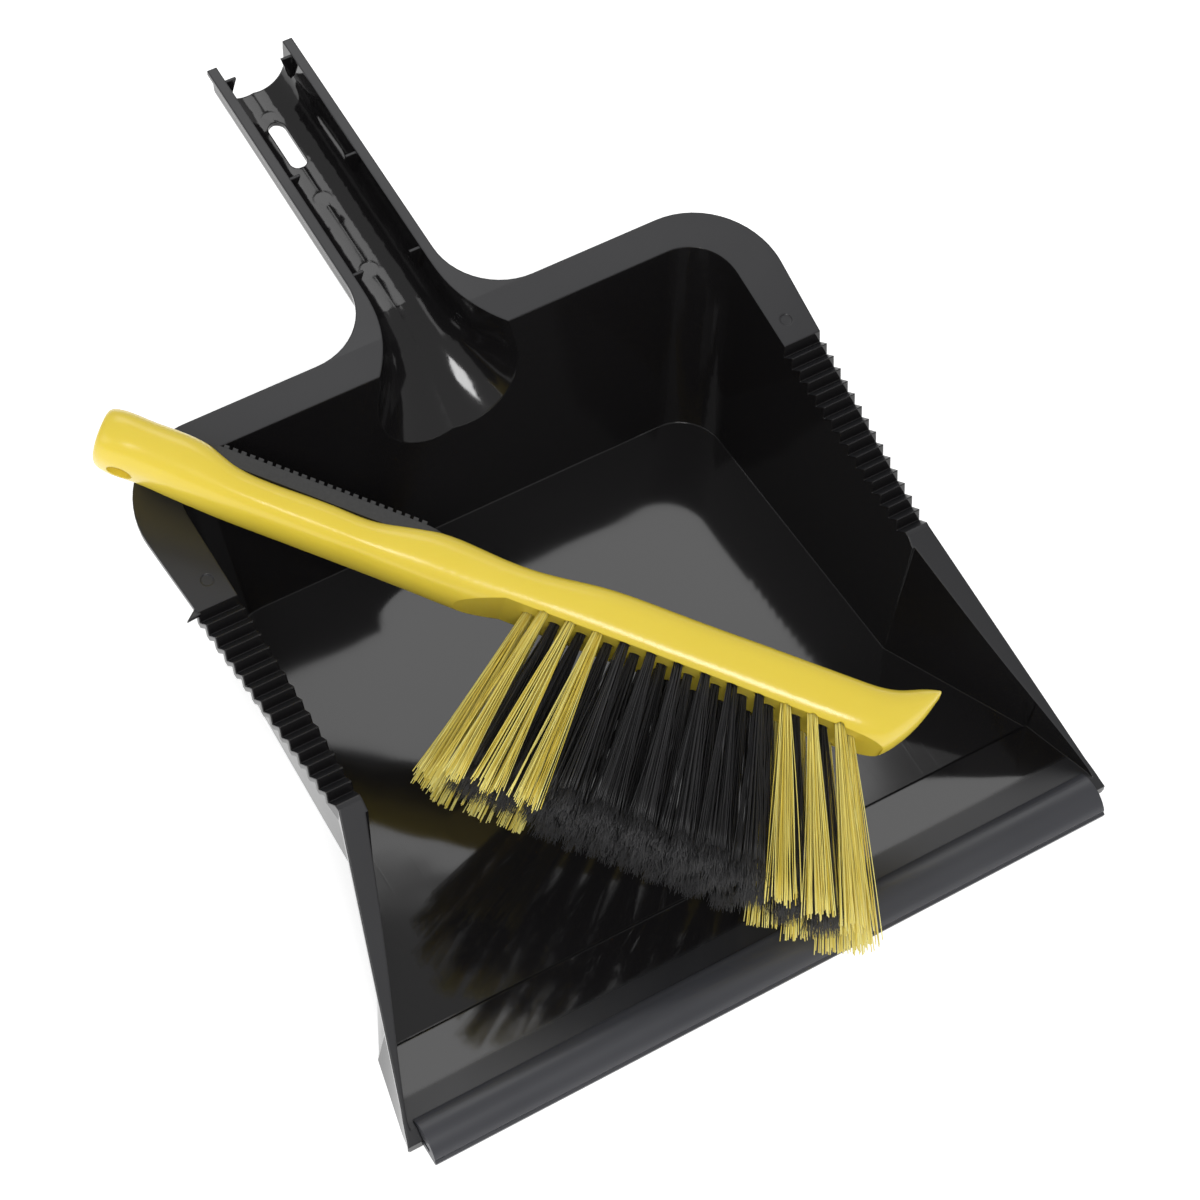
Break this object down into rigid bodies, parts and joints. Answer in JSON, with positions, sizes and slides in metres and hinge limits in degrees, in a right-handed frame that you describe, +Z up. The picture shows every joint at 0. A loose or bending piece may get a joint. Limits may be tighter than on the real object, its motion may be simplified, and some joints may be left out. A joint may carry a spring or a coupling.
{
  "type": "dust pan and brush set",
  "caption": "Open-fronted dust pan with a channel handle and a lip strip, holding a hand brush with a tapering stock, ribbed grip and fanned tufts.",
  "frame": {"origin": "on the pan's flat underside, in the middle of its width, 150 mm behind the lip's front edge", "axes": "+X to the right along the lip, +Y from the lip towards the pan's handle, +Z up"},
  "size_m": [0.314, 0.4512, 0.1286],
  "materials": {
    "pan_black": "gloss, with satin rims",
    "lip_black": "satin",
    "stock_yellow": "semi-gloss",
    "grip_black": "matt",
    "bristle_yellow": "filaments",
    "bristle_black": "filaments, flagged tips",
    "anchor_wire": "drawn wire"
  },
  "bodies": {
    "pan": {"pan_tray": "pan_black", "lip_strip": "lip_black"},
    "brush": {"brush_stock": "stock_yellow", "handle_grip": "grip_black", "tuft_anchors": "anchor_wire", "tuft_a01": "bristle_yellow", "tuft_a02": "bristle_yellow", "tuft_a03": "bristle_yellow", "tuft_a04": "bristle_black", "tuft_a05": "bristle_black", "tuft_a06": "bristle_black", "tuft_a07": "bristle_black", "tuft_a08": "bristle_black", "tuft_a09": "bristle_black", "tuft_a10": "bristle_yellow", "tuft_a11": "bristle_yellow", "tuft_a12": "bristle_yellow", "tuft_b01": "bristle_yellow", "tuft_b02": "bristle_black", "tuft_b03": "bristle_black", "tuft_b04": "bristle_black", "tuft_b05": "bristle_black", "tuft_b06": "bristle_black", "tuft_b07": "bristle_black", "tuft_b08": "bristle_black", "tuft_b09": "bristle_black", "tuft_b10": "bristle_black", "tuft_b11": "bristle_black", "tuft_b12": "bristle_black", "tuft_b13": "bristle_yellow", "tuft_c01": "bristle_yellow", "tuft_c02": "bristle_black", "tuft_c03": "bristle_black", "tuft_c04": "bristle_black", "tuft_c05": "bristle_black", "tuft_c06": "bristle_black", "tuft_c07": "bristle_black", "tuft_c08": "bristle_black", "tuft_c09": "bristle_black", "tuft_c10": "bristle_black", "tuft_c11": "bristle_black", "tuft_c12": "bristle_black", "tuft_c13": "bristle_yellow", "tuft_d01": "bristle_yellow", "tuft_d02": "bristle_yellow", "tuft_d03": "bristle_yellow", "tuft_d04": "bristle_black", "tuft_d05": "bristle_black", "tuft_d06": "bristle_black", "tuft_d07": "bristle_black", "tuft_d08": "bristle_black", "tuft_d09": "bristle_black", "tuft_d10": "bristle_yellow", "tuft_d11": "bristle_yellow", "tuft_d12": "bristle_yellow"}
  },
  "joints": [
    {"name": "brush_lift", "type": "slide", "parent": "pan", "child": "brush", "axis": [0, 0, 1], "range_m": [0, 0.2]}
  ]
}
